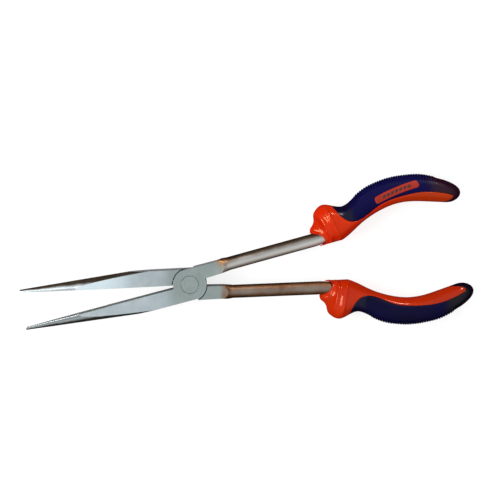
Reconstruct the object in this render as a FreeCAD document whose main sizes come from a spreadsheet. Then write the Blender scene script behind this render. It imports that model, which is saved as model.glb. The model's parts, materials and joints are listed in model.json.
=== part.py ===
import FreeCAD, Part
import math
import os
import re

import Sketcher
from FreeCAD import Placement, Rotation, Vector

# Long-reach needle nose pliers, lying flat and partly open.
#
# Frame: millimetres, origin on the pivot axis midway between the two flats of the lap joint,
# +Z along the pivot axis, +X from the joint towards the handles, jaws towards -X.
#
# Both halves are one design. It is drawn closed: jaw below y = 0 on the -X side, grip above y = 0
# on the +X side, cheek of the lap joint above z = 0. The front half is that design turned about
# the pivot by half the opening angle, and the rear half is the same design turned over.

SIZES = {
    "opening_angle": (12, "angle between the two halves at rest, degrees"),
    "jaw_reach": (104.7, "pivot axis to jaw tip"),
    "jaw_tip_width": (1.7, "width of one jaw at its tip"),
    "jaw_tip_height": (3.4, "height of a jaw at its tip"),
    "jaw_taper_reach": (37, "pivot axis to where a jaw reaches its full width"),
    "flat_end_reach": (70, "pivot axis to where the ground flats run out on the inner edge"),
    "jaw_relief": (0.05, "each jaw's inner face back from the middle plane"),
    "tooth_pitch": (1.2, "spacing of the jaw teeth"),
    "tooth_width": (0.96, "width of the groove between two teeth"),
    "tooth_depth": (0.4, "depth of the jaw teeth"),
    "tooth_count": (42, "teeth on each jaw"),
    "head_width": (9.6, "width of one jaw beside the joint"),
    "head_thickness": (10.5, "thickness over the two flats of the joint"),
    "head_rear_reach": (20, "pivot axis to the end of the flats behind the joint"),
    "head_inner_gap": (1.1, "inner edge of the head behind the joint, off the middle plane"),
    "neck_inner": (1.8, "the same edge where the flats end"),
    "neck_margin": (0.05, "ground edges of the collar in from the sides of the shank"),
    "cheek_radius": (10.3, "round cheek of the lap joint, cut off along the head's outer edges"),
    "shoulder_radius": (10.65, "hollow shoulder that the other half's cheek turns in"),
    "cheek_gap": (0.06, "gap between the two cheeks"),
    "rivet_shaft_radius": (4.5, "rivet shaft"),
    "rivet_head_radius": (5.5, "rivet head"),
    "rivet_head_height": (1.6, "thickness of each rivet head"),
    "running_clearance": (0.05, "gap round the rivet in the half that turns on it"),
    "collar_radius": (6.9, "forged collar where the head turns into the shank"),
    "collar_drop": (0.2, "the collar's axis at its front, in from the shank's"),
    "collar_length": (6, "length of that collar"),
    "collar_sink": (0.12, "the collar's rear end below the shank's surface"),
    "shank_radius": (4.1, "round shank"),
    "shank_offset": (6, "shank axis off the middle plane at the collar"),
    "tang_bend_reach": (88.7, "pivot axis to the tang's first bend"),
    "tang_bend_offset": (6.7, "the same bend off the middle plane"),
    "tang_crest_reach": (132.7, "pivot axis to the tang's crest"),
    "tang_crest_offset": (26, "the same crest off the middle plane, before rounding"),
    "tang_end_reach": (163.7, "pivot axis to the tang's end"),
    "tang_end_offset": (15, "the same end off the middle plane"),
    "tang_bend_radius": (45, "radius of the tang's bends"),
    "grip_front": (78.2, "pivot axis to the front of the grip"),
    "grip_bow": (0.19, "bow of each quarter of the grip's section, against its radius"),
    "cover_thickness": (2, "soft cover over the hard core"),
    "badge_proud": (0.3, "badge above the cover"),
}

# Stations along the grip: distance behind its front, inner side and outer side off the middle
# plane, and half the depth along Z. The first five make the flared finger guard.
GRIP_STATIONS = [
    (0, 3.2, 11.5, 7.2),
    (4, 1.9, 18.8, 10),
    (8.5, 1.3, 24.8, 11),
    (12.5, 1.3, 26.3, 11),
    (17.5, 1.9, 24.8, 10.2),
    (23.5, 4.2, 22.7, 9),
    (31.5, 8.3, 25.4, 8.6),
    (40.5, 12.2, 30, 8.8),
    (48.5, 14.4, 31.8, 9),
    (57.5, 15.4, 32.3, 9),
    (68.5, 13.8, 31.1, 8.8),
    (78.5, 10.9, 28, 8.3),
    (87.5, 8.3, 23.2, 7.4),
    (93.5, 8, 18.6, 5.6),
    (97, 10.6, 15.6, 2.8),
]
GUARD_STATIONS = 4  # stations at the front that the soft cover does not reach

# Outlines seen along the pivot axis: distance behind the grip's front, offset off the middle
# plane, and how far the side that follows bows out.
# What is cut away in front of the guard. It reaches forward on the outer side.
GUARD_MOUTH = [(-20, -20), (5, -20), (5, 2.1), (9.5, 3.2), (8.5, 7.5), (6, 10.4), (1.1, 11.6),
               (0.3, 15), (-20, 40)]
# The back of the grip, which the soft cover takes.
COVER_REGION = [(22.5, 45), (22.5, 18.5, 2.2), (30.5, 11.9), (48.2, 19.2, -2.6), (80.2, 17.6, -0.8),
                (89, 11.5), (87.5, 0), (110, 0), (110, 45)]
BADGE_WINDOW = [(46.1, 18.8, -0.7), (71.1, 22.3, 1.6), (70.4, 27, 0.7), (45.4, 23.5, 1.6)]

doc = FreeCAD.newDocument("needle_nose_pliers")
sheet = doc.addObject("Spreadsheet::Sheet", "sizes")


def fill_sheet():
    """One row for each driving dimension, then one cell for each number of the grip's stations."""
    rows = [(name, value, note) for name, (value, note) in SIZES.items()]
    for count, station in enumerate(GRIP_STATIONS):
        for what, value in zip(("place", "inner", "outer", "depth"), station):
            rows.append((f"grip_{what}_{count}", value, f"grip station {count}, {what}"))
    for row, (name, value, note) in enumerate(rows, start=1):
        sheet.set(f"A{row}", note)
        sheet.set(f"B{row}", str(value))
        sheet.setAlias(f"B{row}", name)
    doc.recompute()
    return {name for name, _, _ in rows}


ALIASES = fill_sheet()


def bind(text):
    """The expression with each driving dimension named through the sheet."""
    return re.sub(r"[a-z]\w*", lambda m: "sizes." + m[0] if m[0] in ALIASES else m[0], str(text))


def number(text):
    """The present value of an expression in the driving dimensions."""
    return float(sheet.evalExpression(bind(text)))


def new_body(name):
    return doc.addObject("PartDesign::Body", name)


def origin_part(body, role):
    return next(item for item in body.Origin.OriginFeatures if item.Role == role)


def new_sketch(body, name, plane="XY_Plane", offset=0):
    """An empty sketch on one of the body's own planes, shifted along its normal."""
    sketch = body.newObject("Sketcher::SketchObject", name)
    sketch.AttachmentSupport = [(origin_part(body, plane), "")]
    sketch.MapMode = "FlatFace"
    sketch.setExpression("AttachmentOffset.Base.z", bind(offset))
    return sketch


def pin_point(sketch, edge, end, x, y):
    """Hold one end of an edge at a place given by two expressions."""
    for kind, text in (("DistanceX", x), ("DistanceY", y)):
        index = sketch.addConstraint(Sketcher.Constraint(kind, edge, end, number(text)))
        sketch.setExpression(f"Constraints[{index}]", bind(text))


def pin_radius(sketch, edge, text):
    index = sketch.addConstraint(Sketcher.Constraint("Radius", edge, number(text)))
    sketch.setExpression(f"Constraints[{index}]", bind(text))


def pin_arc_centre(sketch, edge, first, last, rise, upright):
    """Fix an arc between two pinned ends by one coordinate of its centre."""
    (ax, ay), (bx, by) = first, last
    chord = f"((({bx}) - ({ax}))^2 + (({by}) - ({ay}))^2)"
    shift = f"(({rise})^2 - {chord} / 4) / (2 * ({rise}) * sqrt({chord}))"
    if upright:
        kind, text = "DistanceX", f"(({ax}) + ({bx})) / 2 + (({by}) - ({ay})) * {shift}"
    else:
        kind, text = "DistanceY", f"(({ay}) + ({by})) / 2 - (({bx}) - ({ax})) * {shift}"
    index = sketch.addConstraint(Sketcher.Constraint(kind, edge, 3, number(text)))
    sketch.setExpression(f"Constraints[{index}]", bind(text))


def draw_side(sketch, first, last, rise):
    """A straight side, or an arc that bows by its rise to the right of the way it is drawn.

    Returns which end of the new edge is its first point and which is its last."""
    a, b = (Vector(number(x), number(y), 0) for x, y in (first, last))
    if not rise:
        sketch.addGeometry(Part.LineSegment(a, b))
        return 1, 2
    along = b - a
    right = Vector(along.y, -along.x, 0).normalize()
    height = number(rise)
    radius = (along.Length**2 / 4 + height**2) / (2 * abs(height))
    apex = (a + b) / 2 + right * height
    centre = apex - right * math.copysign(radius, height)
    ends = (a, b) if height > 0 else (b, a)
    angles = [math.atan2(point.y - centre.y, point.x - centre.x) for point in ends]
    circle = Part.Circle(centre, Vector(0, 0, 1), radius)
    edge = sketch.addGeometry(Part.ArcOfCircle(circle, *angles))
    pin_arc_centre(sketch, edge, first, last, rise, upright=abs(along.y) > abs(along.x))
    return (1, 2) if height > 0 else (2, 1)


def draw_outline(sketch, corners):
    """A closed outline, drawn anticlockwise: corners (x, y), or (x, y, rise) before an arc."""
    base = len(sketch.Geometry)
    count = len(corners)
    ends = []
    for corner, following in zip(corners, corners[1:] + corners[:1]):
        rise = corner[2] if len(corner) == 3 else None
        ends.append(draw_side(sketch, corner[:2], following[:2], rise))
    for index, (first, last) in enumerate(ends):
        following = (index + 1) % count
        joint = (base + index, last, base + following, ends[following][0])
        sketch.addConstraint(Sketcher.Constraint("Coincident", *joint))
    for index, corner in enumerate(corners):
        pin_point(sketch, base + index, ends[index][0], corner[0], corner[1])


def outline(body, name, corners, plane="XY_Plane", offset=0):
    sketch = new_sketch(body, name, plane, offset)
    draw_outline(sketch, corners)
    return sketch


def circle(body, name, x, y, radius, plane="XY_Plane", offset=0):
    sketch = new_sketch(body, name, plane, offset)
    centre = Vector(number(x), number(y), 0)
    sketch.addGeometry(Part.Circle(centre, Vector(0, 0, 1), number(radius)))
    pin_point(sketch, 0, 3, x, y)
    pin_radius(sketch, 0, radius)
    return sketch


def extrude(body, kind, sketch, length, midplane=False, reverse=False):
    """A pad or a pocket of the sketch. A pocket cuts against the sketch's normal."""
    feature = body.newObject("PartDesign::" + kind, sketch.Name + "_" + kind.lower())
    feature.Profile = sketch
    feature.Midplane = midplane
    feature.Reversed = reverse
    feature.setExpression("Length", bind(length))
    sketch.Visibility = False
    return feature


def loft(body, name, sketches, ruled):
    feature = body.newObject("PartDesign::AdditiveLoft", name)
    feature.Profile = sketches[0]
    feature.Sections = sketches[1:]
    feature.Ruled = ruled
    return feature


def jaw_section(body, name, reach, width, half_height):
    """A D-shaped section across the jaw, its straight side on the inner face."""
    corners = [("-jaw_relief", half_height, width), ("-jaw_relief", f"-({half_height})")]
    return outline(body, name, corners, "YZ_Plane", f"-({reach})")


def make_lever_blank():
    """Jaw, cheek, head, shank and tang as one forging, before the rivet hole is drilled."""
    body = new_body("lever_blank")
    half = "head_thickness / 2"
    outer = "head_width"

    # The jaw is a tapered half-round bar, widest at the pivot.
    widening = "(head_width - jaw_tip_width) / (jaw_reach - jaw_taper_reach)"
    rising = f"({half} - jaw_tip_height / 2) / (jaw_reach - flat_end_reach)"
    tip = jaw_section(body, "jaw_tip", "jaw_reach", "jaw_tip_width", "jaw_tip_height / 2")
    root = jaw_section(
        body, "jaw_root", 0,
        f"jaw_tip_width + jaw_reach * {widening}",
        f"jaw_tip_height / 2 + jaw_reach * {rising}",
    )
    loft(body, "jaw", [tip, root], ruled=True)

    # Behind the pivot the head is a block that narrows through a collar to the shank.
    inner = "head_inner_gap"
    head = outline(body, "head", [
        (0, inner), ("head_rear_reach", "neck_inner"), ("head_rear_reach", outer), (0, outer),
    ])
    extrude(body, "Pad", head, "head_thickness", midplane=True)
    collar = [
        circle(body, "collar_front", "shank_offset - collar_drop", 0, "collar_radius", "YZ_Plane",
               "head_rear_reach"),
        circle(body, "collar_rear", "shank_offset", 0, "shank_radius - collar_sink", "YZ_Plane",
               "head_rear_reach + collar_length"),
    ]
    loft(body, "collar", collar, ruled=True)

    # The two ground flats, and the ground edges of the head.
    flats = new_sketch(body, "flats", "XZ_Plane")
    far, reach = "3 * head_thickness", "head_rear_reach + collar_length"
    draw_outline(flats, [("-jaw_reach", half), (reach, half), (reach, far), ("-jaw_reach", far)])
    draw_outline(flats, [
        ("-jaw_reach", f"-{far}"), (reach, f"-{far}"), (reach, f"-{half}"), ("-jaw_reach", f"-{half}"),
    ])
    extrude(body, "Pocket", flats, f"2 * {far}", midplane=True)
    edges = new_sketch(body, "edges")
    wide, flare = "3 * head_width", "head_rear_reach + collar_length / 2"
    low, high = "shank_offset - shank_radius + neck_margin", "shank_offset + shank_radius - neck_margin"
    draw_outline(edges, [
        ("-jaw_reach", f"-{wide}"), (0, f"-{wide}"), (0, f"-{outer}"), ("-jaw_reach", f"-{outer}"),
    ])
    draw_outline(edges, [
        ("cheek_radius", f"-{wide}"), (reach, f"-{wide}"), (reach, low), (flare, low),
        ("head_rear_reach", "neck_inner"), ("cheek_radius", inner),
    ])
    draw_outline(edges, [
        (0, outer), ("head_rear_reach", outer), (flare, high), (reach, high), (reach, wide), (0, wide),
    ])
    extrude(body, "Pocket", edges, f"2 * {far}", midplane=True)

    # The hollow for the other half's cheek, and this half's own cheek.
    hollow = circle(body, "hollow", 0, 0, "shoulder_radius", offset="cheek_gap / 2")
    extrude(body, "Pocket", hollow, "head_thickness")
    chord = "sqrt(cheek_radius^2 - head_width^2)"
    bow = f"cheek_radius - {chord}"
    cheek = outline(body, "cheek", [
        (chord, f"-{outer}", bow), (chord, outer), (f"-{chord}", outer, bow), (f"-{chord}", f"-{outer}"),
    ], offset="cheek_gap / 2")
    extrude(body, "Pad", cheek, "(head_thickness - cheek_gap) / 2")

    make_shank(body)
    make_teeth(body)
    return body


def rounded_path(corners, radius):
    """Straight runs through the corners, with each bend rounded by a tangent arc."""
    edges = []
    start = corners[0]
    for before, bend, after in zip(corners, corners[1:], corners[2:]):
        back = (before - bend).normalize()
        ahead = (after - bend).normalize()
        half_turn = (math.pi - back.getAngle(ahead)) / 2
        first = bend + back * radius * math.tan(half_turn)
        last = bend + ahead * radius * math.tan(half_turn)
        middle = (back + ahead).normalize() * radius * (1 / math.cos(half_turn) - 1)
        edges += [Part.LineSegment(start, first), Part.Arc(first, bend + middle, last)]
        start = last
    return edges + [Part.LineSegment(start, corners[-1])]


def make_shank(body):
    """The round bar from the collar to the end of the tang, bent as the grip is."""
    places = [
        ("head_rear_reach + collar_length / 2", "shank_offset"),
        ("tang_bend_reach", "tang_bend_offset"),
        ("tang_crest_reach", "tang_crest_offset"),
        ("tang_end_reach", "tang_end_offset"),
    ]
    corners = [Vector(number(x), number(y), 0) for x, y in places]
    path = new_sketch(body, "shank_path")
    edges = rounded_path(corners, number("tang_bend_radius"))
    for edge in edges:
        path.addGeometry(edge)
    path.addConstraint(Sketcher.Constraint("Block", 0))
    section = circle(body, "shank_section", places[0][1], 0, "shank_radius", "YZ_Plane", places[0][0])
    shank = body.newObject("PartDesign::AdditivePipe", "shank")
    shank.Profile = section
    shank.Spine = (path, [f"Edge{count + 1}" for count in range(len(edges))])


def make_teeth(body):
    """Fine transverse teeth on the inner face, from near the tip back."""
    first = "-jaw_reach + tooth_pitch"
    groove = outline(body, "tooth", [
        (first, "jaw_relief"),
        (f"{first} + tooth_width / 2", "-jaw_relief - tooth_depth"),
        (f"{first} + tooth_width", "jaw_relief"),
    ])
    cut = extrude(body, "Pocket", groove, "2 * head_thickness", midplane=True)
    doc.recompute()
    pattern = body.newObject("PartDesign::LinearPattern", "teeth")
    pattern.Originals = [cut]
    pattern.Direction = (origin_part(body, "X_Axis"), [""])
    pattern.setExpression("Length", bind("tooth_pitch * (tooth_count - 1)"))
    pattern.setExpression("Occurrences", bind("tooth_count"))
    body.Tip = pattern


def grip_section(body, count, inset, raise_by):
    """A rounded section across the grip. The inset makes it smaller, by half as much on the inner
    side, and raise_by makes it deeper."""
    inner = f"grip_inner_{count} + {inset} / 2"
    outer = f"grip_outer_{count} - {inset}"
    depth = f"grip_depth_{count} - {inset} + {raise_by}"
    middle = f"(({inner}) + ({outer})) / 2"
    rise = f"grip_bow * sqrt((({outer}) - ({inner}))^2 / 4 + ({depth})^2)"
    corners = [(outer, 0, rise), (middle, depth, rise), (inner, 0, rise), (middle, f"-({depth})", rise)]
    return outline(body, f"{body.Name}_{count}", corners, "YZ_Plane", f"grip_front + grip_place_{count}")


def make_grip(name, stations, inset="0", raise_by="0"):
    body = new_body(name)
    sections = [grip_section(body, count, inset, raise_by) for count in stations]
    loft(body, name + "_loft", sections, ruled=False)
    return body


def prism(name, corners, one_side=False):
    """A straight block with the outline given, through the grip's depth or above z = 0 only."""
    body = new_body(name)
    placed = [(f"grip_front + {corner[0]}", *corner[1:]) for corner in corners]
    sketch = outline(body, name + "_outline", placed)
    extrude(body, "Pad", sketch, "6 * head_thickness", midplane=not one_side)
    return body


def boolean(kind, name, base, tool):
    result = doc.addObject("Part::" + kind, name)
    result.Base = base
    result.Tool = tool
    return result


def cylinder(name, radius, height, z):
    tool = doc.addObject("Part::Cylinder", name)
    for key, text in (("Radius", radius), ("Height", height), ("Placement.Base.z", z)):
        tool.setExpression(key, bind(text))
    return tool


def rivet_hole(name, clearance):
    """A stepped hole for the rivet's shaft and the head in this half's own cheek."""
    shaft = cylinder(name + "_shaft", f"rivet_shaft_radius + {clearance}", "head_thickness",
                     "-head_thickness / 2")
    seat = cylinder(name + "_seat", f"rivet_head_radius + {clearance}", "head_thickness",
                    f"head_thickness / 2 - rivet_head_height - {clearance}")
    return boolean("Fuse", name, shaft, seat)


def make_rivet():
    """A flush rivet: a shaft with a flat head in each cheek."""
    body = new_body("pivot_rivet")
    half, neck = "head_thickness / 2", "head_thickness / 2 - rivet_head_height"
    head, shaft = "rivet_head_radius", "rivet_shaft_radius"
    profile = outline(body, "rivet_profile", [
        (0, f"-{half}"), (head, f"-{half}"), (head, f"-({neck})"), (shaft, f"-({neck})"),
        (shaft, neck), (head, neck), (head, half), (0, half),
    ], "XZ_Plane")
    turned = body.newObject("PartDesign::Revolution", "rivet_turned")
    turned.Profile = profile
    turned.ReferenceAxis = (profile, ["V_Axis"])
    turned.Angle = 360
    return body


def half_placements():
    """Where the closed design goes for each half at rest."""
    swing = number("opening_angle") / 2
    front = Rotation(Vector(0, 0, 1), swing)
    rear = Rotation(Vector(0, 0, 1), -swing) * Rotation(Vector(1, 0, 0), 180)
    return {"front": Placement(Vector(), front), "rear": Placement(Vector(), rear)}


def for_each_half(kind, name, base, tools):
    """The same piece of both halves. tools is one object, or one for each half by name."""
    pieces = []
    for side, placement in half_placements().items():
        tool = tools[side] if isinstance(tools, dict) else tools
        piece = boolean(kind, f"{side}_{name}", base, tool)
        piece.Placement = placement
        pieces.append(piece)
    return pieces


def make_levers(blank):
    holes = {"front": rivet_hole("riveted_hole", "0"),
             "rear": rivet_hole("running_hole", "running_clearance")}
    return for_each_half("Cut", "lever", blank, holes)


def make_grips(blank):
    """Hard core on the tang, soft cover over its back, and the badge set in the cover."""
    every = range(len(GRIP_STATIONS))
    covered = range(GUARD_STATIONS, len(GRIP_STATIONS) - 1)
    whole = make_grip("grip_whole", every)
    heart = make_grip("grip_heart", covered, inset="cover_thickness")
    raised = make_grip("grip_raised", covered, raise_by="badge_proud")

    trimmed = boolean("Cut", "grip_trimmed", whole, prism("guard_mouth", GUARD_MOUTH))
    back = prism("cover_region", COVER_REGION)
    window = prism("badge_window", BADGE_WINDOW, one_side=True)

    shell = boolean("Cut", "cover_shell", trimmed, heart)
    cover = boolean("Common", "cover_whole", shell, back)
    plug = boolean("Cut", "badge_plug", raised, heart)
    solid_core = boolean("Cut", "core_solid", trimmed, cover)
    return (
        for_each_half("Cut", "grip_core", solid_core, blank)
        + for_each_half("Cut", "grip_cover", cover, window)
        + for_each_half("Common", "badge", plug, window)
    )


def check(pieces):
    for item in doc.Objects:
        if {"Invalid", "Error"} & set(item.State):
            raise RuntimeError(f"{item.Label} failed: {item.State}")
    for piece in pieces:
        shape = piece.Shape
        if shape.isNull() or not shape.isValid() or len(shape.Solids) != 1:
            raise RuntimeError(f"{piece.Label} is not one valid solid: {len(shape.Solids)} solids")


def main():
    blank = make_lever_blank()
    rivet = make_rivet()
    pieces = make_levers(blank) + [rivet] + make_grips(blank)
    doc.recompute()
    check(pieces)
    os.makedirs("parts", exist_ok=True)
    for piece in pieces:
        piece.Shape.exportStep(f"parts/{piece.Label}.step")
        box = piece.Shape.BoundBox
        print(f"{piece.Label}: {piece.Shape.Volume:.0f} mm3, x {box.XMin:.1f} to {box.XMax:.1f}, "
              f"y {box.YMin:.1f} to {box.YMax:.1f}, z {box.ZMin:.2f} to {box.ZMax:.2f}")


main()
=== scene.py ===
import json
import math

import bmesh
import bpy
import numpy as np
from mathutils import Matrix, Vector


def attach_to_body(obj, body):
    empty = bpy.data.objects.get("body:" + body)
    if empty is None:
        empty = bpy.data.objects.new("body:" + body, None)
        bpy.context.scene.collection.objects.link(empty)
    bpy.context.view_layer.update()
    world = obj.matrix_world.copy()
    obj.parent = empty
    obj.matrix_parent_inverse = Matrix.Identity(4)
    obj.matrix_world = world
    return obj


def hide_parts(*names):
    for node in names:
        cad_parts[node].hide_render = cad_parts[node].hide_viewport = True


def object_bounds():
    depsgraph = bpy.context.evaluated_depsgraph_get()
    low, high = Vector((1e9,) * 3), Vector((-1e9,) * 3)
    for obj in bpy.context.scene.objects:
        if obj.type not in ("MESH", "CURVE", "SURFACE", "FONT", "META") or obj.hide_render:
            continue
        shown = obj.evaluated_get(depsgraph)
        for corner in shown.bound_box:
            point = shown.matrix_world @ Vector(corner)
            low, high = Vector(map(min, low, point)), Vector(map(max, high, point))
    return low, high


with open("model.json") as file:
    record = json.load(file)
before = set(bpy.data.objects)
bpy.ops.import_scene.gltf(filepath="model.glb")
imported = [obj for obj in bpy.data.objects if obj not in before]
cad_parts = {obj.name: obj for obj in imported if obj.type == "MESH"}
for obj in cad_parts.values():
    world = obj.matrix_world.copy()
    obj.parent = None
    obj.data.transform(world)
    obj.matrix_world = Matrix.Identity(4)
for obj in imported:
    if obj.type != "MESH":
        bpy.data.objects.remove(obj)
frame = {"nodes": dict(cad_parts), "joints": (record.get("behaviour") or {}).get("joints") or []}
CAD_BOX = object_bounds()

# Both halves are one design, drawn closed in millimetres: jaw towards -X, grip towards +X on the
# +Y side of the middle plane. half_matrix puts that drawing where each half lies at rest.
MM = 0.001
SIGN = {"front": 1, "rear": -1}
SWING = math.radians(-frame["joints"][0]["range_deg"][0] / 2)


def half_matrix(side):
    swung = Matrix.Rotation(SIGN[side] * SWING, 4, "Z")
    return swung if side == "front" else swung @ Matrix.Rotation(math.pi, 4, "X")


# ---------------------------------------------------------------- camera, floor and light

VIEW_TILT = math.radians(5.9)  # the camera stands a little past the upper handle
VIEW_SIDE = math.radians(-1.3)  # and a little towards the jaws
VIEW_ROLL = math.radians(8.9)  # the handles point up to the right
VIEW_DISTANCE = 0.743  # metres, like every length up to the materials
VIEW_WIDTH = 0.308  # what the picture's width covers at the object
VIEW_CENTRE = Vector((0.0398, 0.0150, 0.0))  # what lies in the middle of the picture


def make_camera():
    right = Vector((math.cos(VIEW_ROLL), -math.sin(VIEW_ROLL), 0))
    up = Vector((math.sin(VIEW_ROLL), math.cos(VIEW_ROLL), 0))
    lean = up * math.sin(VIEW_TILT) + right * math.sin(VIEW_SIDE)
    back = (lean + Vector((0, 0, math.cos(VIEW_TILT)))).normalized()
    right = (right - back * right.dot(back)).normalized()
    turned = Matrix((right, back.cross(right), back)).transposed().to_4x4()
    data = bpy.data.cameras.new("camera")
    data.sensor_width = 36
    data.lens = data.sensor_width * VIEW_DISTANCE / VIEW_WIDTH
    camera = bpy.data.objects.new("camera", data)
    camera.matrix_world = Matrix.Translation(VIEW_CENTRE + back * VIEW_DISTANCE) @ turned
    bpy.context.scene.collection.objects.link(camera)
    bpy.context.scene.camera = camera


FLOOR_HALF = 3.0
FLOOR_LEVEL = CAD_BOX[0].z - 0.0002
WALL_CORNERS = 64


def plain_material(name, base, glow):
    """A pale glowing surface without gloss, for what surrounds the object."""
    paint = Paint(name)
    paint.set(rough=0.9, specular=0.0, glow=glow)
    paint.shader.inputs["Base Color"].default_value = (base, base, base, 1)
    paint.shader.inputs["Emission Color"].default_value = (1, 1, 1, 1)
    return paint.material


def add_object(name, vertices, faces, material):
    mesh = bpy.data.meshes.new(name)
    mesh.from_pydata(vertices, [], faces)
    mesh.materials.append(material)
    added = bpy.data.objects.new(name, mesh)
    bpy.context.scene.collection.objects.link(added)
    return added


def make_floor():
    corners = [(x * FLOOR_HALF, y * FLOOR_HALF, FLOOR_LEVEL) for x, y in ((-1, -1), (1, -1), (1, 1), (-1, 1))]
    floor = add_object("floor", corners, [(0, 1, 2, 3)], plain_material("floor", 0.3, 0.8))
    # Gloss on the object takes its dark edges from the world, as over a small white table.
    floor.visible_glossy = False


def make_backdrop():
    """A pale wall behind low views. Only the camera sees it, so the light stays as it is."""
    turns = [2 * math.pi * i / WALL_CORNERS for i in range(WALL_CORNERS)]
    ring = [(FLOOR_HALF * math.cos(t), FLOOR_HALF * math.sin(t)) for t in turns]
    corners = [(x, y, z) for z in (FLOOR_LEVEL, FLOOR_HALF) for x, y in ring]
    after = [(i + 1) % WALL_CORNERS for i in range(WALL_CORNERS)]
    faces = [(i, j, WALL_CORNERS + j, WALL_CORNERS + i) for i, j in enumerate(after)]
    material = plain_material("backdrop", 0, 0.96)
    material.cycles.emission_sampling = "NONE"
    wall = add_object("backdrop", corners, faces, material)
    wall.visible_diffuse = wall.visible_glossy = wall.visible_transmission = False
    wall.visible_shadow = False


def make_world():
    """Bright above, dark and warm towards the horizon: the studio that the gloss reflects."""
    world = bpy.data.worlds.new("studio")
    world.use_nodes = True
    tree = world.node_tree
    tree.nodes.clear()
    where = tree.nodes.new("ShaderNodeTexCoord")
    split = tree.nodes.new("ShaderNodeSeparateXYZ")
    ramp = tree.nodes.new("ShaderNodeValToRGB")
    sky = tree.nodes.new("ShaderNodeBackground")
    out = tree.nodes.new("ShaderNodeOutputWorld")
    tree.links.new(where.outputs["Generated"], split.inputs[0])
    tree.links.new(split.outputs["Z"], ramp.inputs["Fac"])
    tree.links.new(ramp.outputs["Color"], sky.inputs["Color"])
    tree.links.new(sky.outputs[0], out.inputs["Surface"])
    stops = [(0.0, (0.02, 0.012, 0.008)), (0.12, (0.05, 0.03, 0.02)), (0.35, (0.26, 0.24, 0.23)),
             (0.55, (0.56, 0.57, 0.58)), (1.0, (0.74, 0.77, 0.79))]
    set_ramp(ramp, stops)
    sky.inputs["Strength"].default_value = 1.0
    bpy.context.scene.world = world


def make_light(name, place, size, power, colour=(1, 1, 1)):
    """A rectangular lamp of the given width and height, aimed at the middle of the picture."""
    data = bpy.data.lights.new(name, "AREA")
    data.shape = "RECTANGLE"
    data.size, data.size_y = size
    data.energy = power
    data.color = colour
    lamp = bpy.data.objects.new(name, data)
    aimed = (VIEW_CENTRE - Vector(place)).to_track_quat("-Z", "Y")
    lamp.matrix_world = Matrix.Translation(place) @ aimed.to_matrix().to_4x4()
    bpy.context.scene.collection.objects.link(lamp)


def make_lights():
    make_light("key", (0.45, 0.70, 0.42), (0.16, 0.18), 2.2)
    make_light("softbox", (-0.54, 0.08, 0.54), (0.45, 0.3), 4.5, (1.0, 0.98, 0.97))
    bpy.context.scene.view_settings.view_transform = "Standard"


# ---------------------------------------------------------------- materials


def set_ramp(ramp, stops):
    elements = ramp.color_ramp.elements
    while len(elements) < len(stops):
        elements.new(0.5)
    for element, (place, colour) in zip(elements, stops):
        element.position = place
        element.color = (*colour, 1)


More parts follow.
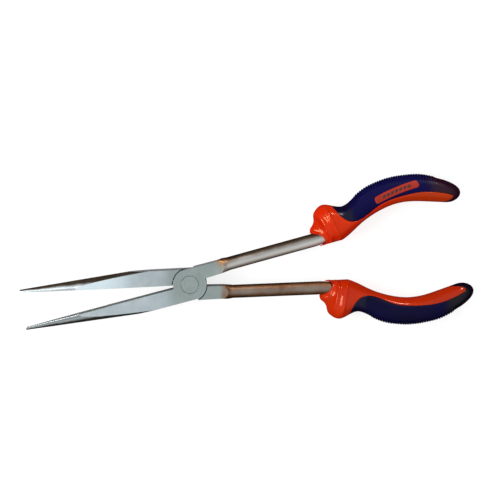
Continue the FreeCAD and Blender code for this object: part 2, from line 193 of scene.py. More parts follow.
class Paint:
    """A node material with short ways to add the nodes that every finish here needs."""

    def __init__(self, name):
        self.material = bpy.data.materials.new(name)
        self.material.use_nodes = True
        self.tree = self.material.node_tree
        self.shader = self.tree.nodes["Principled BSDF"]

    def add(self, kind, **settings):
        node = self.tree.nodes.new("ShaderNode" + kind)
        for key, value in settings.items():
            setattr(node, key, value)
        return node

    def link(self, source, target):
        self.tree.links.new(source, target)

    def set(self, **values):
        names = {"rough": "Roughness", "metal": "Metallic", "specular": "Specular IOR Level",
                 "anisotropic": "Anisotropic", "glow": "Emission Strength"}
        for key, value in values.items():
            self.shader.inputs[names[key]].default_value = value

    def turned(self, vector, turn):
        node = self.add("Mapping")
        node.inputs["Rotation"].default_value = turn
        self.link(vector, node.inputs["Vector"])
        return node.outputs[0]

    def place(self, scale=(1, 1, 1), turn=(0, 0, 0)):
        """Object coordinates in metres, turned and then scaled."""
        scaled = self.add("Mapping")
        scaled.inputs["Scale"].default_value = scale
        self.link(self.turned(self.add("TexCoord").outputs["Object"], turn), scaled.inputs["Vector"])
        return scaled.outputs[0]

    def noise(self, vector, scale, detail=4, rough=0.5):
        node = self.add("TexNoise")
        node.inputs["Scale"].default_value = scale
        node.inputs["Detail"].default_value = detail
        node.inputs["Roughness"].default_value = rough
        self.link(vector, node.inputs["Vector"])
        return node.outputs["Fac"]

    def math(self, operation, first, second=None, clamp=False):
        node = self.add("Math", operation=operation, use_clamp=clamp)
        for socket, value in zip(node.inputs, (first, second)):
            if isinstance(value, (int, float)):
                socket.default_value = value
            elif value is not None:
                self.link(value, socket)
        return node.outputs[0]

    def fade(self, value, low, high, out_low=0.0, out_high=1.0):
        """Smoothly from out_low below low to out_high above high."""
        node = self.add("MapRange", interpolation_type="SMOOTHSTEP")
        settings = {"From Min": low, "From Max": high, "To Min": out_low, "To Max": out_high}
        for name, number in settings.items():
            node.inputs[name].default_value = number
        self.link(value, node.inputs["Value"])
        return node.outputs["Result"]

    def ramp(self, value, stops):
        node = self.add("ValToRGB")
        set_ramp(node, stops)
        self.link(value, node.inputs["Fac"])
        return node.outputs["Color"]

    def mix(self, share, first, second):
        """One colour over another. Each is a socket or three numbers."""
        node = self.add("Mix", data_type="RGBA")
        factor, a, b = node.inputs[0], node.inputs[6], node.inputs[7]
        for socket, value in ((a, first), (b, second)):
            if isinstance(value, tuple):
                socket.default_value = (*value, 1)
            else:
                self.link(value, socket)
        self.link(share, factor)
        return node.outputs[2]

    def bump(self, height, strength, distance, below=None):
        node = self.add("Bump")
        node.inputs["Strength"].default_value = strength
        node.inputs["Distance"].default_value = distance
        self.link(height, node.inputs["Height"])
        if below is not None:
            self.link(below, node.inputs["Normal"])
        return node.outputs[0]

    def axis(self, vector, letter):
        node = self.add("SeparateXYZ")
        self.link(vector, node.inputs[0])
        return node.outputs[letter]

    def blend(self, share, first, second):
        """One number over another."""
        node = self.add("Mix", data_type="FLOAT")
        for socket, value in zip(node.inputs[:1] + node.inputs[2:4], (share, first, second)):
            self.link(value, socket)
        return node.outputs[0]

    def off_axis(self):
        """Distance from the pivot axis in metres."""
        where = self.place()
        squares = (self.math("POWER", self.axis(where, letter), 2) for letter in "XY")
        return self.math("SQRT", self.math("ADD", *squares))

    def colour(self, socket):
        self.link(socket, self.shader.inputs["Base Color"])

    def rough(self, socket):
        self.link(socket, self.shader.inputs["Roughness"])

    def normal(self, socket):
        self.link(socket, self.shader.inputs["Normal"])

    def turned_rings(self, scale=2600):
        """Fine lines round the pivot axis, as facing it in a lathe leaves them."""
        rings = self.add("CombineXYZ")
        self.link(self.off_axis(), rings.inputs[0])
        return self.noise(rings.outputs[0], scale, detail=3)


# Where one finish fades into the next: metres along the lever from the pivot axis, then metres
# from that axis.
TIP_START = (-0.05, -0.056)  # the half-round tip, past the ground flats
JOINT_FADE = (-0.018, -0.009)  # from the jaw's grey to the joint's
HEAD_END = (0.0205, 0.0225)  # the collar, where the round shank begins
DISC_FADE = (0.0085, 0.0099)  # turned rings that show as darker lines
DISC_EDGE = (0.0098, 0.0106)  # turned rings round the rivet, ground lines outside
DISC_GAP = (0.0107, 0.0112)
SCALE_FADE = (0.5, 0.76)  # how far a surface faces up or down where the dark scale and painted shade give way
# The two halves are one steel. Their numbers differ to paint the light and shade that fall on each half, so
# each set holds painted light as well as the steel's colour.
STEEL = {
    "front": {"shaded_crown": 0.19, "tip_sides": 0.6, "tint": (0.5, 0.25, 0.1), "inner_tint": 0.1,
              "forged": [(0.35, (0.012, 0.011, 0.01)), (0.65, (0.03, 0.027, 0.023))],
              "drawn": [(0.3, (0.36, 0.345, 0.32)), (0.7, (0.46, 0.45, 0.43))],
              "brown_scale_and_shade": [(0.3, (0.09, 0.06, 0.034)), (0.7, (0.18, 0.12, 0.08))]},
    "rear": {"shaded_crown": 0.24, "tip_sides": 0.8, "tint": (0.27, 0.13, 0.06), "inner_tint": 0.6,
             "forged": [(0.35, (0.032, 0.023, 0.015)), (0.65, (0.066, 0.046, 0.03))],
             "drawn": [(0.3, (0.26, 0.235, 0.2)), (0.7, (0.34, 0.31, 0.275))],
             "brown_scale_and_shade": [(0.3, (0.19, 0.083, 0.036)), (0.7, (0.3, 0.15, 0.078))]},
}


class SteelPaint(Paint):
    """Satin ground flats, sides dark with scale and with painted shade where they face away from the top, and
    a heat-tinted patch behind the joint.

    Its directions are those of the closed lever: reach along X, across is the normal's lean in Y.
    """

    def __init__(self, side):
        super().__init__(f"{side}_steel")
        self.side, self.values = side, STEEL[side]
        self.turn = (0, 0, -SIGN[side] * SWING)
        self.along = self.place(turn=self.turn)
        self.reach = self.axis(self.along, "X")
        self.outward = self.turned(self.add("TexCoord").outputs["Normal"], self.turn)
        self.facing = self.math("ABSOLUTE", self.axis(self.outward, "Z"))
        self.across = self.axis(self.outward, "Y")
        self.cloud = self.noise(self.along, 90, detail=6, rough=0.6)
        # Facing up or down, with cloudy noise: where it is low, scale and painted shade take over from the
        # bright steel.
        self.facing_light_and_wear = self.math("ADD", self.facing, self.uneven(0.3))

    def uneven(self, amount):
        """Cloudy noise about zero."""
        return self.math("MULTIPLY", self.math("SUBTRACT", self.cloud, 0.5), amount)

    def both(self, first, second):
        """Where two shares meet: their product."""
        return self.math("MULTIPLY", first, second)

    def ground(self):
        """Ground flats: greyer round the joint; on the rear half a painted highlight makes them bright
        towards the tips.
        """
        colour = self.ramp(self.cloud, [(0.3, (0.37, 0.43, 0.45)), (0.5, (0.43, 0.49, 0.51)),
                                        (0.72, (0.51, 0.56, 0.58))])
        # Painted highlight on the rear half's flats, growing towards the tip.
        if self.side == "rear":
            colour = self.mix(self.fade(self.reach, -0.024, -0.054, 0, 0.75), colour, (0.82, 0.95, 1.0))
        # Past the ground flats the half-round tip is coloured by how it faces: its crown darker than its
        # sides, as painted shade.
        sides, shaded_crown = ((v, v * 1.1, v * 1.13) for v in (self.values["tip_sides"], self.values["shaded_crown"]))
        tip = self.mix(self.fade(self.facing, 0.93, 0.985), sides, shaded_crown)
        leaning = self.fade(self.axis(self.outward, "X"), -0.02, -0.06)
        colour = self.mix(self.both(leaning, self.fade(self.reach, *TIP_START)), colour, tip)
        joint = self.ramp(self.cloud, [(0.3, (0.29, 0.345, 0.33)), (0.7, (0.36, 0.415, 0.4))])
        colour = self.mix(self.fade(self.reach, *JOINT_FADE), colour, joint)
        rings = self.both(self.fade(self.off_axis(), *DISC_FADE, 0.22, 0),
                          self.fade(self.turned_rings(900), 0.42, 0.58))
        return self.mix(rings, colour, (0.16, 0.19, 0.185))

    def bright_edge(self):
        """Where the ground edges of the head and the toothed inner faces of the jaws are."""
        edge = self.both(self.fade(self.math("ABSOLUTE", self.across), 0.985, 0.998),
                         self.fade(self.reach, 0.021, 0.024, 1, 0))
        inward = self.math("MULTIPLY", self.across, SIGN[self.side])
        inner = self.both(self.fade(inward, 0.5, 0.8), self.fade(self.reach, -0.012, -0.01, 1, 0))
        return self.math("MAXIMUM", edge, inner)

    def head(self):
        """Colour of the jaws and the joint, dark with scale and painted shade where they face sideways, and
        how metallic it is.
        """
        # The backs of the jaws keep their dark scale and painted shade further round.
        shown = self.math("SUBTRACT", self.facing_light_and_wear, self.fade(self.reach, -0.035, -0.055, 0, 0.22))
        forged = self.ramp(self.cloud, self.values["forged"])
        colour = self.mix(self.fade(shown, *SCALE_FADE), forged, self.ground())
        edge = self.bright_edge()
        colour = self.mix(edge, colour, (0.32, 0.345, 0.35))
        # Scale is an oxide, so it shines less like metal than the bare steel does.
        bare = self.math("MAXIMUM", self.fade(shown, *SCALE_FADE, 0.25, 1), self.fade(self.reach, *HEAD_END))
        metal = self.math("MINIMUM", bare, self.fade(edge, 0, 1, 1, 0.4))
        # Painted shade: a dark ring in the gap round the other half's disc, on the faces turned one way.
        low, high = -0.5 * SIGN[self.side], -0.8 * SIGN[self.side]
        gap_shade = self.both(self.fade(self.axis(self.outward, "Z"), low, high),
                        self.fade(self.off_axis(), *DISC_GAP, 0.85, 0))
        return self.mix(gap_shade, colour, (0.03, 0.03, 0.028)), metal

    def shank(self):
        """Brown scale on the shank's sides and grey steel along its front and back, split by how the surface
        faces, so the brown sides are also a painted reflection of a dark surround.
        """
        drawn = self.ramp(self.cloud, self.values["drawn"])
        brown_scale_and_shade = self.ramp(self.cloud, self.values["brown_scale_and_shade"])
        if self.side == "rear":
            return self.mix(self.fade(self.facing_light_and_wear, 0.75, 1.15), brown_scale_and_shade, drawn)
        # Painted highlight: the front shank's grey lightens where its surface leans towards -Y.
        drawn = self.mix(self.fade(self.across, 0.3, -0.4), drawn, (0.82, 0.8, 0.75))
        # Painted light: the front shank's grey band is moved by how its surface leans.
        lit_band = self.math("SUBTRACT", self.facing_light_and_wear, self.math("MULTIPLY", self.across, 0.3))
        return self.mix(self.fade(lit_band, 0.55, 1.0), brown_scale_and_shade, drawn)

    def heat_patch(self):
        """A straw-coloured patch, stronger towards the outer side, where head and shank meet."""
        ragged = self.math("ADD", self.reach, self.uneven(0.008))
        patch = self.both(self.fade(ragged, 0.0185, 0.0215), self.fade(ragged, 0.022, 0.028, 1, 0))
        outer = self.math("MULTIPLY", self.axis(self.along, "Y"), SIGN[self.side])
        return self.both(patch, self.fade(outer, 0.0035, 0.0095, self.values["inner_tint"], 0.9))

    def finish(self):
        """Fine grinding lines across the flats, turned rings round the rivet, and a duller shank."""
        lines = self.noise(self.place((3000, 160, 160), self.turn), 1, detail=3)
        lines = self.blend(self.fade(self.off_axis(), *DISC_EDGE), self.turned_rings(), lines)
        base = self.fade(self.reach, 0.018, 0.03, 0.3, 0.46)
        self.rough(self.math("ADD", base, self.math("MULTIPLY", lines, 0.12)))
        height = self.bump(lines, 0.15, 0.00004)
        self.normal(self.bump(self.cloud, 0.15, 0.0001, height))
        self.set(anisotropic=0.3)


def steel_paint(side):
    paint = SteelPaint(side)
    head, metal = paint.head()
    paint.link(metal, paint.shader.inputs["Metallic"])
    # The collar's flat keeps the head's finish a little further than its sides do.
    begun = paint.math("SUBTRACT", paint.reach, paint.fade(paint.facing, 0.96, 0.99, 0, 0.006))
    colour = paint.mix(paint.fade(begun, *HEAD_END), head, paint.shank())
    paint.colour(paint.mix(paint.heat_patch(), colour, STEEL[side]["tint"]))
    paint.finish()
    return paint.material


def rivet_paint():
    """Ground flush with the joint, with a faint ring where its hollow end was closed."""
    paint = Paint("rivet_steel")
    cloud = paint.noise(paint.place(), 120, detail=5)
    colour = paint.ramp(cloud, [(0.3, (0.32, 0.38, 0.365)), (0.7, (0.4, 0.46, 0.435))])
    off = paint.off_axis()
    ring = paint.math("MULTIPLY", paint.fade(off, 0.0029, 0.0032), paint.fade(off, 0.0032, 0.0036, 0.2, 0))
    rim = paint.math("ADD", ring, paint.fade(off, 0.005, 0.0053, 0, 0.8), clamp=True)
    paint.colour(paint.mix(rim, colour, (0.12, 0.13, 0.12)))
    lines = paint.turned_rings()
    paint.rough(paint.math("ADD", 0.28, paint.math("MULTIPLY", lines, 0.12)))
    paint.normal(paint.bump(lines, 0.15, 0.00004))
    paint.set(metal=1.0)
    return paint.material


# Red of the hard plastic, darkest and lightest, its darker, browner colour further back, and its gloss's
# tint. The halves are one plastic: the rear's darker red and the darker colour further back are painted
# shade.
CORE = {"front": {"red": (0.59, 0.68), "behind": (0.27, 0.034, 0.003), "gloss": (1, 0.55, 0.28, 1)},
        "rear": {"red": (0.48, 0.57), "behind": (0.3, 0.014, 0.001), "gloss": (1, 0.55, 0.4, 1)}}


def core_paint(side):
    """Glossy moulded plastic with faint flow marks and fine scuffs."""
    paint = Paint(f"{side}_hard_grip_plastic")
    where = paint.place()
    flow = paint.noise(where, 60, detail=3)
    dark, light = CORE[side]["red"]
    colour = paint.ramp(flow, [(0.3, (dark, 0.016, 0.001)), (0.7, (light, 0.027, 0.001))])
    # Painted shade: the plastic darkens towards the handle's end.
    behind = paint.fade(paint.axis(where, "X"), 0.115, 0.15, 0, 0.55)
    paint.colour(paint.mix(behind, colour, CORE[side]["behind"]))
    scuffs = paint.noise(where, 900, detail=4, rough=0.7)
    paint.rough(paint.fade(scuffs, 0.4, 0.8, 0.1, 0.22))
    ripple = paint.bump(flow, 0.1, 0.0004)
    paint.normal(paint.bump(scuffs, 0.05, 0.00005, ripple))
    paint.set(specular=0.5)
    paint.shader.inputs["Specular Tint"].default_value = CORE[side]["gloss"]
    return paint.material


# The halves are one plastic: the rear's darker blue and darker cap are painted shade, and the front cap's
# purple is a painted reflection.
COVER = {"front": {"blue": (0.035, 0.065), "cap": (0.02, 0.002, 0.012)},
         "rear": {"blue": (0.018, 0.036), "cap": (0.004, 0.002, 0.008)}}


def cover_paint(side):
    """Dark blue soft plastic: matt with a fine grain in the middle, polished near both ends."""
    paint = Paint(f"{side}_soft_grip_rubber")
    along = paint.place(turn=(0, 0, -SIGN[side] * SWING))
    reach = paint.axis(along, "X")
    patches = paint.noise(along, 45, detail=3)
    deep, light = COVER[side]["blue"]
    colour = paint.ramp(patches, [(0.3, (0.0012, 0.0007, deep)), (0.7, (0.002, 0.001, light))])
    valley, cap = paint.fade(reach, 0.104, 0.11, 1, 0), paint.fade(reach, 0.153, 0.163)
    polished = paint.math("ADD", valley, cap, clamp=True)
    # Painted shade: darker blue in the valley where the cover begins.
    colour = paint.mix(valley, colour, (0.003, 0.002, 0.02))
    # The end cap takes the colour given for it: a painted reflection on the front, painted shade on the rear.
    paint.colour(paint.mix(cap, colour, COVER[side]["cap"]))
    dull = paint.fade(patches, 0.3, 0.7, 0.42, 0.55)
    matt = paint.math("SUBTRACT", 1, paint.math("MULTIPLY", polished, 0.45))
    paint.rough(paint.math("MULTIPLY", dull, matt))
    grain = paint.math("MULTIPLY", paint.noise(along, 2600, detail=2), matt)
    paint.normal(paint.bump(grain, 0.25, 0.00006))
    paint.link(paint.fade(polished, 0, 1, 0.1, 0.25), paint.shader.inputs["Specular IOR Level"])
    return paint.material


def badge_paint():
    """Matt orange plastic with a fine grain."""
    paint = Paint("badge_plastic")
    where = paint.place()
    patches = paint.noise(where, 200, detail=4)
    paint.colour(paint.ramp(patches, [(0.3, (0.33, 0.015, 0.004)), (0.7, (0.42, 0.023, 0.006))]))
    grain = paint.noise(where, 3500, detail=2)
    paint.rough(paint.fade(grain, 0.3, 0.7, 0.5, 0.65))
    paint.normal(paint.bump(grain, 0.3, 0.00005))
    paint.set(specular=0.3)
    return paint.material


def mark_paint():
    """Dark ink of the bars on the badge."""
    paint = Paint("badge_mark_ink")
    grain = paint.noise(paint.place(), 2500, detail=2)
    paint.colour(paint.ramp(grain, [(0.3, (0.03, 0.008, 0.006)), (0.7, (0.06, 0.014, 0.01))]))
    paint.rough(paint.fade(grain, 0.3, 0.7, 0.45, 0.6))
    return paint.material


# ---------------------------------------------------------------- the grip's shape


def spline(points):
    """A smooth function through the points, with continuous curvature."""
    x, y = np.array(points, float).T
    gap = np.diff(x)
    count = len(x)
    system, load = np.eye(count), np.zeros(count)
    for i in range(1, count - 1):
        system[i, i - 1 : i + 2] = gap[i - 1], 2 * (gap[i - 1] + gap[i]), gap[i]
        load[i] = 6 * ((y[i + 1] - y[i]) / gap[i] - (y[i] - y[i - 1]) / gap[i - 1])
    bend = np.linalg.solve(system, load)

    def value(at):
        at = np.clip(at, x[0], x[-1])
        i = np.clip(np.searchsorted(x, at) - 1, 0, count - 2)
        before, after, width = at - x[i], x[i + 1] - at, gap[i]
        curved = (bend[i] * after**3 + bend[i + 1] * before**3) / (6 * width)
        return (curved + (y[i] / width - bend[i] * width / 6) * after
                + (y[i + 1] / width - bend[i + 1] * width / 6) * before)

    return value


def smooth(value, low, high):
    t = np.clip((value - low) / (high - low), 0, 1)
    return t * t * (3 - 2 * t)


def bell(value, centre, width):
    return np.exp(-(((value - centre) / width) ** 2))


def travelled(points):
    """How far along the line through the points each of them lies."""
    return np.concatenate([[0], np.cumsum(np.hypot(*np.diff(points, axis=0).T))])


# The grip is drawn from here on in millimetres and in its own frame: a point at a reach lies at
# that X, and the finished pieces are then moved along X by this much.
GRIP_SHIFT = -1.3

# Inner and outer side of the grip off the middle plane, and half its depth, by reach.
INNER = spline([(90, 1.4), (97, 1.8), (104, 4.4), (112, 8.8), (120, 12.2), (128, 14.4), (136, 15.4),
                (146, 14.4), (156, 11.6), (166, 8.5)])
OUTER = spline([(88, 25.8), (92, 26.4), (97, 24.9), (103.5, 22.4), (112, 25.7), (120, 29.5),
                (128, 31.2), (136, 31.8), (146, 30.9), (156, 28.6), (166, 23.6)])
DEPTH = spline([(88, 10.6), (93, 11), (98, 10.3), (104, 9), (112, 8.5), (124, 8.6), (137, 8.8),
                (152, 8.5), (166, 7.6)])
CREST = 93.0  # reach of the guard's crest, where the front flare begins
CAP = 166.0  # reach where the rounded end begins
CAP_LENGTH = 10.6
LAST_REACH = CAP + CAP_LENGTH
CAP_DROOP, CAP_LEVEL_OUT = 0.42, 0.012  # the end still leans towards the middle plane, less and less
CAP_NARROWING, CAP_THINNING = 0.1, 0.08
SQUARENESS = 2.3  # of the section: 2 is an ellipse
SHANK_OFF = 6.7  # shank axis off the middle plane at the guard


def section(reach):
    """Centre, half width and half depth of the grip's section at a reach."""
    base = np.minimum(reach, CAP)
    centre, width = (OUTER(base) + INNER(base)) / 2, (OUTER(base) - INNER(base)) / 2
    past = np.maximum(reach - CAP, 0)
    round_off = np.sqrt(np.maximum(1 - (past / CAP_LENGTH) ** 2, 0))
    centre = centre - CAP_DROOP * past + CAP_LEVEL_OUT * past**2
    return centre, (width - CAP_NARROWING * past) * round_off, (DEPTH(base) - CAP_THINNING * past) * round_off


def rounded(angle, power):
    """Point of the unit section: angle 0 is the outer side, a quarter turn is +Z."""
    c, s = np.cos(angle), np.sin(angle)
    return np.sign(c) * np.abs(c) ** (2 / power), np.sign(s) * np.abs(s) ** (2 / power)


def skin(reach, angle):
    """Points on the grip's surface, for arrays of the same shape."""
    centre, width, depth = section(reach)
    c, s = rounded(angle, SQUARENESS)
    return np.stack([reach, centre + width * c, depth * s], axis=-1)


def angle_at(reach, height):
    """Angle round the section at which the surface lies this far off the middle plane."""
    centre, width, _ = section(reach)
    share = np.clip((height - centre) / width, -1, 1)
    return np.arccos(np.sign(share) * np.abs(share) ** (SQUARENESS / 2))


# The soft cover's edge, seen from either side: reach and distance off the middle plane.
EDGE_POINTS = [(97.8, 24.4), (99.6, 20), (102.4, 15.8), (106, 12.8), (110.1, 11.8), (115, 12.7),
               (121.5, 15.6), (128, 18.1), (135, 19.2), (143.5, 19.5), (151.5, 19), (159.5, 17.1),
               (165.5, 14.8), (168.8, 13.2), (171, 11.8)]
NOTCH_START = 162.4  # reach where the cover's end begins along the grip's inner side
ROW_SPACING = 0.22


def edge_rows():
    """Reach and half-angle of the soft cover's edge, evenly spaced along the edge."""
    points = np.array(EDGE_POINTS)
    travel = travelled(points)
    reach_at, height_at = (spline(np.column_stack([travel, column])) for column in points.T)
    steps = np.linspace(0, travel[-1], int(travel[-1] / ROW_SPACING))
    reach = np.maximum.accumulate(reach_at(steps))
    half = angle_at(reach, height_at(steps))
    half[0] = 0
    return reach, half


EDGE_REACH, EDGE_HALF = edge_rows()
TIP_REACH, TIP_HALF = EDGE_REACH[-1], EDGE_HALF[-1]


def notch(angle):
    """Reach of the cover's end between the tips of the hard strip's two sides, round the inner side."""
    return TIP_REACH - (TIP_REACH - NOTCH_START) * smooth(np.abs(angle), TIP_HALF, math.pi)


def cap_rows(count, first):
    """Reaches from first to the grip's end, closer together as it rounds off."""
    turn = np.linspace(math.asin((first - CAP) / CAP_LENGTH), math.pi / 2, count + 1)[1:]
    return CAP + CAP_LENGTH * np.sin(turn)


def skin_normals(reach, angle):
    """Outward normals of the grip's surface, by small steps along and round it."""
    step = 1e-3
    along = skin(reach + step, angle) - skin(reach - step, angle)
    around = skin(reach, angle + step) - skin(reach, angle - step)
    normal = np.cross(around, along)
    return normal / np.maximum(np.linalg.norm(normal, axis=-1, keepdims=True), 1e-12)


def normals(grid):
    """Outward unit normals of a grid whose columns go a full turn from the outer side by +Z."""
    lapped = np.concatenate([grid[:, -2:-1], grid, grid[:, 1:2]], axis=1)
    along = np.gradient(lapped, axis=0)[:, 1:-1]
    around = np.gradient(lapped, axis=1)[:, 1:-1]
    normal = np.cross(around, along)
    length = np.linalg.norm(normal, axis=-1, keepdims=True)
    return normal / np.maximum(length, 1e-9)


def mesh_from_grid(name, grid, side, wrap, paint, threshold=2e-6):
    """A mesh over a grid of points in the grip's frame, put where that half's grip lies.

    Points within the threshold, in metres, are made one. Wrapped, each row closes on itself.
    """
    rows, columns = grid.shape[:2]
    index = np.arange(rows * columns).reshape(rows, columns)
    if wrap:
        index = np.concatenate([index, index[:, :1]], axis=1)
    quads = np.stack([index[:-1, :-1], index[:-1, 1:], index[1:, 1:], index[1:, :-1]], axis=-1)
    mesh = bpy.data.meshes.new(name)
    mesh.from_pydata((grid.reshape(-1, 3) * MM).tolist(), [], quads.reshape(-1, 4).tolist())
    edit = bmesh.new()
    edit.from_mesh(mesh)
    bmesh.ops.remove_doubles(edit, verts=edit.verts, dist=threshold)
    bmesh.ops.dissolve_degenerate(edit, edges=edit.edges, dist=threshold / 2)
    bmesh.ops.recalc_face_normals(edit, faces=edit.faces)
    edit.to_mesh(mesh)
    edit.free()
    mesh.transform(half_matrix(side) @ Matrix.Translation((GRIP_SHIFT * MM, 0, 0)))
    mesh.polygons.foreach_set("use_smooth", [True] * len(mesh.polygons))
    mesh.materials.append(paint)
    piece = bpy.data.objects.new(name, mesh)
    bpy.context.scene.collection.objects.link(piece)
    return piece


def attach(piece, side, node=None):
    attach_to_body(piece, f"{side}_half")
    if node:
        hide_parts(node)


# ---------------------------------------------------------------- soft cover

COVER_COLUMNS = 97
COVER_THICKNESS = 1.2  # the solid goes inwards from the drawn surface
EDGE_ROLL = 0.4  # how far the edge is rolled in
EDGE_ROLL_WIDTH = 0.35
PAD_START, PAD_END = 112.5, 163.5
PAD_HALF_ANGLE = math.radians(58)
RIB_PITCH = 1.5
RIB_HEIGHT = 0.5
RIB_BREAKS = 30  # grooves that would cut the ribs into blocks in a full turn
BREAK_HEIGHT = 0.35  # what is left of a rib in such a groove, as a share
BADGE_RECESS = 0.45


def pad_height(reach, angle):
    """The ribbed pad on the back of the cover, above the smooth surface."""
    inside = smooth(reach, PAD_START, PAD_START + 0.3) * (1 - smooth(reach, PAD_END - 0.3, PAD_END))
    inside = inside * (1 - smooth(np.abs(angle), PAD_HALF_ANGLE - 0.05, PAD_HALF_ANGLE))
    wave = 0.5 + 0.5 * np.cos(2 * math.pi * reach / RIB_PITCH)
    blocks = smooth(0.5 + 0.5 * np.cos(angle * RIB_BREAKS), 0.1, 0.5)
    ribs = smooth(wave, 0.25, 0.75) * (BREAK_HEIGHT + (1 - BREAK_HEIGHT) * blocks)
    return inside * RIB_HEIGHT * ribs


def badge_sink(grid):
    """How deep the cover is recessed for the badge, on its +Z side."""
    outside = badge_distance(grid[..., 0], grid[..., 1])
    return BADGE_RECESS * (1 - smooth(outside, -0.15, 0.25)) * (grid[..., 2] > 0)


NOTCH_ROWS = 24
NOTCH_RISE = 1.2  # how much further the notch's rows get along the grip's back
CAP_ROWS = 26
SKEW_ANGLE = math.radians(95)  # rows bend back towards the notch beyond this angle
FAR = 9  # from any edge, so nothing is rolled in


def cover_rows():
    """Reach and angle of every point of the cover, row by row from its start to the grip's end."""
    share = np.linspace(-1, 1, COVER_COLUMNS)[None, :]
    angle = share * EDGE_HALF[:, None]
    reach = np.broadcast_to(EDGE_REACH[:, None], angle.shape)
    rows = [(reach, angle)]
    # Rows whose ends follow the notch back to the inner side, then closed rings up to the end.
    around = np.linspace(0, 1, NOTCH_ROWS + 1)[1:, None]
    half = TIP_HALF + (math.pi - TIP_HALF) * around
    base = TIP_REACH + NOTCH_RISE * around
    rings = cap_rows(CAP_ROWS, base[-1, 0])[:, None]
    left = ((LAST_REACH - rings) / (LAST_REACH - base[-1])) ** 1.2
    depth = np.concatenate([base - notch(half), left * (base[-1] - NOTCH_START)])
    half = np.concatenate([half, np.full_like(rings, math.pi)])
    base = np.concatenate([base, rings])
    angle = share * half
    bend = np.clip((np.abs(angle) - SKEW_ANGLE) / (half - SKEW_ANGLE), 0, 1) ** 3
    rows.append((base - depth * bend, angle))
    return [np.concatenate(parts) for parts in zip(*rows)]


def make_cover(side, paint):
    reach, angle = cover_rows()
    grid = skin(reach, angle)
    side_gap = (np.abs(angle[:, -1:]) - np.abs(angle)) * section(reach)[1]
    to_edge = np.minimum(side_gap, reach - EDGE_REACH[0])
    # The two sides of the notch meet, so its last rows and the closed end have no edge.
    to_edge[len(EDGE_REACH) + NOTCH_ROWS - 4 :] = FAR
    rolled = EDGE_ROLL * np.exp(-to_edge / EDGE_ROLL_WIDTH)
    height = pad_height(reach, angle) - rolled - badge_sink(grid)
    grid = grid + skin_normals(reach, angle) * height[..., None]
    piece = mesh_from_grid(f"{side}_soft_cover", grid, side, False, paint)
    shell = piece.modifiers.new("thickness", "SOLIDIFY")
    shell.thickness = COVER_THICKNESS * MM
    shell.offset = -1
    attach(piece, side, f"{side}_grip_cover")


# ---------------------------------------------------------------- hard core with the guard

CORE_COLUMNS = 160
COVERED_COLUMNS = 40
SINK = 1.7  # how far the core lies below the cover's outside
GROOVE, GROOVE_WIDTH = 0.25, 0.3  # the core's dip beside the cover's edge
LEAN_END = 103  # reach by which the rows no longer follow the leaning crest
MOUTH_RADIUS = 4.75
BORE_RADIUS = 4.2
BORE_DEPTH = 8.0
# Reach of the mouth's edge, by degrees off the outer side.
MOUTH = spline([(0, 80.8), (25, 81.9), (55, 85.6), (90, 88), (120, 89), (150, 87.6), (180, 84.6)])
MOUTH_LIP = 0.6
# The flare's moulded folds: height, place from the mouth to the crest, and width.
FOLDS = [(0.55, 0.4, 0.09), (-0.4, 0.22, 0.08), (-0.35, 0.62, 0.12)]
OUTER_HOLLOW = 1.2  # how deep the flare is hollowed on its outer side


def crest_shift(angle):
    """How much further back the guard's crest lies towards the inner side."""
    return 3.0 * (1 - np.cos(angle))


def from_outer(angle):
    """The angle off the grip's outer side, up to half a turn."""
    return np.abs(np.arctan2(np.sin(angle), np.cos(angle)))


def crest_ridge(gap, angle):
    """The ridge along the guard's crest, gap millimetres away from it."""
    off = from_outer(angle)
    return 0.35 * bell(gap, 0, 0.9) * smooth(off, 0.5, 1.1) * (1 - smooth(off, 2.2, 2.8))


def guard_rows(angle, count=70):
    """The flare from the mouth round the shank up to the crest, with its moulded ridges."""
    share = np.linspace(0, 1, count)[:, None]
    angle = angle[None, :]
    off = from_outer(angle)
    crest = CREST + crest_shift(angle)
    top = skin(crest, angle)
    mouth_reach = MOUTH(np.degrees(off))
    c, s = rounded(angle, 2)
    mouth = np.stack([mouth_reach, SHANK_OFF + MOUTH_RADIUS * c, MOUTH_RADIUS * s], axis=-1)
    up = 1 - (1 - share) ** 2.5
    reach = mouth[..., 0] + (top[..., 0] - mouth[..., 0]) * share
    sideways = mouth[..., 1:] + (top[..., 1:] - mouth[..., 1:]) * up[..., None]
    grid = np.concatenate([reach[..., None], sideways], axis=-1)
    folds = sum(height * bell(share, centre, width) for height, centre, width in FOLDS)
    folds = folds * (0.25 + 0.75 * smooth(off, 0.3, 0.9))
    hollow = OUTER_HOLLOW * bell(share, 0.2, 0.13) * (1 - smooth(off, 0.5, 1.4))
    ridges = MOUTH_LIP * bell(share, 0.06, 0.05) + folds - hollow
    ridges = ridges * (1 - smooth(off, 2.5, 3.0)) + crest_ridge((1 - share) * (crest - mouth_reach), angle)
    return grid + normals(grid) * ridges[..., None]


def core_sink(reach, half, shown):
    """How deep the core lies under the cover, and where it shows, in the groove beside the cover."""
    to_edge = np.minimum(shown - half, 2 * math.pi - half - shown) * section(reach)[1]
    to_edge = np.where(reach < EDGE_REACH[0], np.hypot(to_edge, EDGE_REACH[0] - reach), to_edge)
    under_end = smooth(reach - notch(from_outer(shown)), 0.25, 0.75)
    showing = SINK * under_end + GROOVE * np.exp(-to_edge / GROOVE_WIDTH) * (1 - under_end)
    covered = np.where(reach > EDGE_REACH[0], SINK, 0)
    return np.concatenate([np.repeat(covered, COVERED_COLUMNS, axis=1), showing], axis=1)


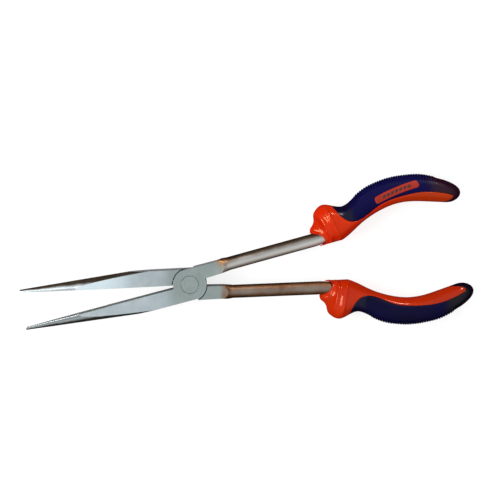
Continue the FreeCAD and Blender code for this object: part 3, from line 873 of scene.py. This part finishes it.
def core_grid():
    """Points of the core: columns first cover the part under the soft cover, then what shows."""
    before = np.arange(CREST, EDGE_REACH[0], 0.4)
    cap = cap_rows(CAP_ROWS, TIP_REACH)
    reach = np.concatenate([before, EDGE_REACH[::2], cap])[:, None]
    half = np.concatenate([np.zeros(len(before)), EDGE_HALF[::2], np.full(len(cap), TIP_HALF)])[:, None]
    covered = np.linspace(-1, 1, COVERED_COLUMNS)[None, :] * half
    shown = half + np.linspace(0, 1, CORE_COLUMNS)[None, :] * (2 * math.pi - 2 * half)
    angle = np.concatenate([covered, shown], axis=1)
    leaning = reach + crest_shift(angle) * (1 - smooth(reach, CREST, LEAN_END))
    raised = crest_ridge(reach - CREST, angle) - core_sink(reach, half, shown)
    grid = skin(leaning, angle) + skin_normals(leaning, angle) * raised[..., None]
    grid[-1] = grid[-2].mean(axis=0)  # a flat end, inside the soft cover
    # In front of the cover the covered columns are one point, and the turn closes on it.
    closed = np.count_nonzero(half < 0.005)
    seam = grid[:closed, COVERED_COLUMNS:COVERED_COLUMNS + 1].copy()
    grid[:closed, :COVERED_COLUMNS] = seam
    grid[:closed, -1:] = seam
    flare = guard_rows(angle[0, COVERED_COLUMNS:])
    flare = np.concatenate([np.repeat(flare[:, :1], COVERED_COLUMNS, axis=1), flare], axis=1)
    return np.concatenate([mouth_rows(flare[0], angle[0]), flare[:-1], grid])


def make_core(side, paint):
    # The columns under the cover start close together, so only points that coincide are merged.
    piece = mesh_from_grid(f"{side}_hard_core", core_grid(), side, True, paint, 2e-7)
    attach(piece, side, f"{side}_grip_core")


def mouth_rows(edge, angle):
    """From the closed bottom of the bore round the shank out to the mouth's edge."""
    c, s = rounded(angle, 2)
    deep = np.full(len(angle), edge[:, 0].max() + BORE_DEPTH)
    ring = np.stack([0 * deep, SHANK_OFF + BORE_RADIUS * c, BORE_RADIUS * s], axis=-1)
    bottom = ring.copy()
    bottom[:, 0] = deep
    pole = np.broadcast_to([deep[0], SHANK_OFF, 0], ring.shape)
    inside = ring.copy()
    inside[:, 0] = edge[:, 0] + 0.5
    lip = (ring + edge) / 2
    lip[:, 0] = edge[:, 0] + 0.08
    return np.stack([pole, bottom, inside, lip])


# ---------------------------------------------------------------- badge

BADGE_START = np.array([125.9, 21.4])
BADGE_END = np.array([149.6, 24.7])
BADGE_MIDDLE = (BADGE_START + BADGE_END) / 2
BADGE_SPAN = np.linalg.norm(BADGE_END - BADGE_START)
BADGE_LINE = (BADGE_END - BADGE_START) / BADGE_SPAN
BADGE_BOW = 0.7
BADGE_HALF_HEIGHT = 2.25
BADGE_HALF_LENGTH = BADGE_SPAN / 2 + BADGE_HALF_HEIGHT
BADGE_CORNER = 1.6
BADGE_LIFT, BADGE_DROP = 0.12, 0.7  # its face above the skin, and its back below it
MARK_COUNT = 7
MARK_PITCH = 2.7
MARK_HALF_LENGTH, MARK_HALF_HEIGHT, MARK_CORNER = 0.95, 0.85, 0.3
MARK_SLANT = 0.45
MARK_LIFT, MARK_DROP = 0.24, 0.1


def badge_bow(along):
    """How far the bowed badge stands out from its chord."""
    return BADGE_BOW * (1 - (2 * along / BADGE_SPAN) ** 2)


def badge_distance(x, y):
    """Signed distance to the badge's rounded outline, negative inside."""
    x, y = x - BADGE_MIDDLE[0], y - BADGE_MIDDLE[1]
    along = x * BADGE_LINE[0] + y * BADGE_LINE[1]
    across = -x * BADGE_LINE[1] + y * BADGE_LINE[0] - badge_bow(along)
    a = np.abs(along) - (BADGE_HALF_LENGTH - BADGE_CORNER)
    b = np.abs(across) - (BADGE_HALF_HEIGHT - BADGE_CORNER)
    outside = np.hypot(np.maximum(a, 0), np.maximum(b, 0))
    return outside + np.minimum(np.maximum(a, b), 0) - BADGE_CORNER


def on_skin(along, across, lift):
    """Points over the grip's +Z side from places along and across the badge."""
    across = across + badge_bow(along)
    x = BADGE_MIDDLE[0] + along * BADGE_LINE[0] - across * BADGE_LINE[1]
    y = BADGE_MIDDLE[1] + along * BADGE_LINE[1] + across * BADGE_LINE[0]
    angle = angle_at(x, y)
    return skin(x, angle) + skin_normals(x, angle) * lift


def plate(name, outline, lift, drop, side, paint):
    """A thin plate with a rounded rim, laid on the grip: rings of the outline, shrunk to its middle."""
    rings = [(0.0, -drop), (1.0, -drop), (1.0, lift - 0.12), (0.985, lift - 0.03), (0.95, lift)]
    rings += [(share, lift) for share in np.linspace(0.85, 0.0, 10)]
    centre = outline.mean(axis=0)
    rows = [on_skin(*(centre + (outline - centre) * share).T, level) for share, level in rings]
    return mesh_from_grid(name, np.stack(rows), side, True, paint)


def rounded_rectangle(half_length, half_height, corner):
    """Outline of evenly spaced points, so that a plate's long sides follow the curved grip."""
    turn = np.linspace(0, math.pi / 2, 14)
    points = []
    for quarter, (sx, sy) in enumerate([(1, 1), (-1, 1), (-1, -1), (1, -1)]):
        angle = turn + quarter * math.pi / 2
        points.append(np.column_stack([sx * (half_length - corner) + corner * np.cos(angle),
                                       sy * (half_height - corner) + corner * np.sin(angle)]))
    closed = np.concatenate([*points, points[0][:1]])
    travel = travelled(closed)
    even = np.linspace(0, travel[-1], 161)[:-1]
    return np.column_stack([np.interp(even, travel, column) for column in closed.T])


def make_badge(side, paint, ink):
    """The badge and, in place of any lettering, a plain row of slanted bars."""
    outline = rounded_rectangle(BADGE_HALF_LENGTH, BADGE_HALF_HEIGHT, BADGE_CORNER)
    piece = plate(f"{side}_badge_plate", outline, BADGE_LIFT, BADGE_DROP, side, paint)
    attach(piece, side, f"{side}_badge")
    for count in range(MARK_COUNT):
        bar = rounded_rectangle(MARK_HALF_LENGTH, MARK_HALF_HEIGHT, MARK_CORNER)
        bar[:, 0] += bar[:, 1] * MARK_SLANT + (count - (MARK_COUNT - 1) / 2) * MARK_PITCH
        mark = plate(f"{side}_badge_bar_{count + 1}", bar, MARK_LIFT, MARK_DROP, side, ink)
        attach(mark, side)


# ---------------------------------------------------------------- the whole

LEVER_EASE, RIVET_EASE = 0.00004, 0.0002  # metres


def ease_edges(node, width):
    """Small rounded chamfers on a steel piece's sharp edges, as grinding leaves them."""
    weld = node.modifiers.new("weld", "WELD")
    weld.merge_threshold = 1e-6
    bevel = node.modifiers.new("eased_edges", "BEVEL")
    bevel.width = width
    bevel.segments = 2
    bevel.limit_method = "ANGLE"
    bevel.angle_limit = math.radians(40)
    bevel.use_clamp_overlap = False
    bevel.harden_normals = True


def main():
    make_camera()
    make_floor()
    make_backdrop()
    make_world()
    make_lights()
    nodes = frame["nodes"]
    badge, ink = badge_paint(), mark_paint()
    for side in SIGN:
        nodes[f"{side}_lever"].data.materials[0] = steel_paint(side)
        ease_edges(nodes[f"{side}_lever"], LEVER_EASE)
        make_core(side, core_paint(side))
        make_cover(side, cover_paint(side))
        make_badge(side, badge, ink)
    nodes["pivot_rivet"].data.materials[0] = rivet_paint()
    ease_edges(nodes["pivot_rivet"], RIVET_EASE)


main()
